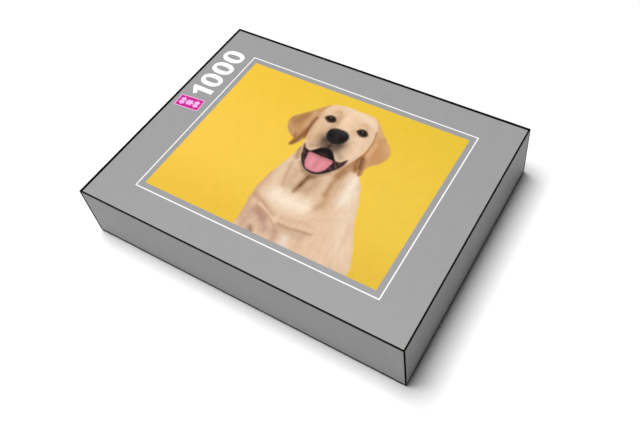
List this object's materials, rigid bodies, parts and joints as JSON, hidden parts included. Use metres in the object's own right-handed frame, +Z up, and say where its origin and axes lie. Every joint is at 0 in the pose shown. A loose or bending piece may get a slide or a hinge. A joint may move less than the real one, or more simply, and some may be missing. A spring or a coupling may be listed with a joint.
{
  "type": "boxed jigsaw puzzle",
  "caption": "Telescoping cardboard puzzle box: a lift-off printed lid over a tray base that holds sorted sachets of jigsaw pieces and a folded picture sheet.",
  "frame": {"origin": "centre of the closed box's underside, on the table", "axes": "+X along the long side, to the right seen from the front; +Y to the back; +Z up"},
  "size_m": [0.32, 0.24, 0.06],
  "materials": {
    "printed_paper": "satin printed wrapping paper",
    "base_paper": "matt wrapping paper",
    "greyboard": "uncoated greyboard",
    "stay_tape": "gummed kraft stay tape",
    "sheet_paper": "printed paper",
    "sachet": "clear film over printed cardboard pieces"
  },
  "bodies": {
    "base": {"base_board": "greyboard", "base_wrap": "base_paper", "base_corner_stay_1": "stay_tape", "base_corner_stay_2": "stay_tape", "base_corner_stay_3": "stay_tape", "base_corner_stay_4": "stay_tape"},
    "lid": {"lid_board": "greyboard", "lid_wrap": "printed_paper", "lid_corner_stay_1": "stay_tape", "lid_corner_stay_2": "stay_tape", "lid_corner_stay_3": "stay_tape", "lid_corner_stay_4": "stay_tape"},
    "sachets": {"sachet_a1": "sachet", "sachet_a2": "sachet", "sachet_a3": "sachet", "sachet_a4": "sachet", "sachet_a5": "sachet", "sachet_b1": "sachet", "sachet_b2": "sachet", "sachet_b3": "sachet", "sachet_b4": "sachet", "sachet_b5": "sachet", "sachet_c1": "sachet", "sachet_c2": "sachet", "sachet_c3": "sachet", "sachet_c4": "sachet", "sachet_c5": "sachet", "sachet_d1": "sachet", "sachet_d2": "sachet", "sachet_d3": "sachet", "sachet_d4": "sachet", "sachet_d5": "sachet", "sachet_e1": "sachet", "sachet_e2": "sachet", "sachet_e3": "sachet", "sachet_e4": "sachet", "sachet_e5": "sachet", "sachet_f1": "sachet", "sachet_f2": "sachet", "sachet_f3": "sachet", "sachet_f4": "sachet", "sachet_f5": "sachet", "sachet_g1": "sachet", "sachet_g2": "sachet", "sachet_g3": "sachet", "sachet_g4": "sachet", "sachet_g5": "sachet", "sachet_h1": "sachet", "sachet_h2": "sachet", "sachet_h3": "sachet", "sachet_h4": "sachet", "sachet_h5": "sachet"},
    "sheet": {"picture_sheet": "sheet_paper"}
  },
  "joints": [
    {"name": "lid_lift", "type": "slide", "parent": "base", "child": "lid", "axis": [0, 0, 1], "range_m": [0, 0.15]},
    {"name": "sachets_lift", "type": "slide", "parent": "base", "child": "sachets", "axis": [0, 0, 1], "range_m": [0, 0.006]},
    {"name": "sheet_lift", "type": "slide", "parent": "sachets", "child": "sheet", "axis": [0, 0, 1], "range_m": [0, 0.004]}
  ]
}
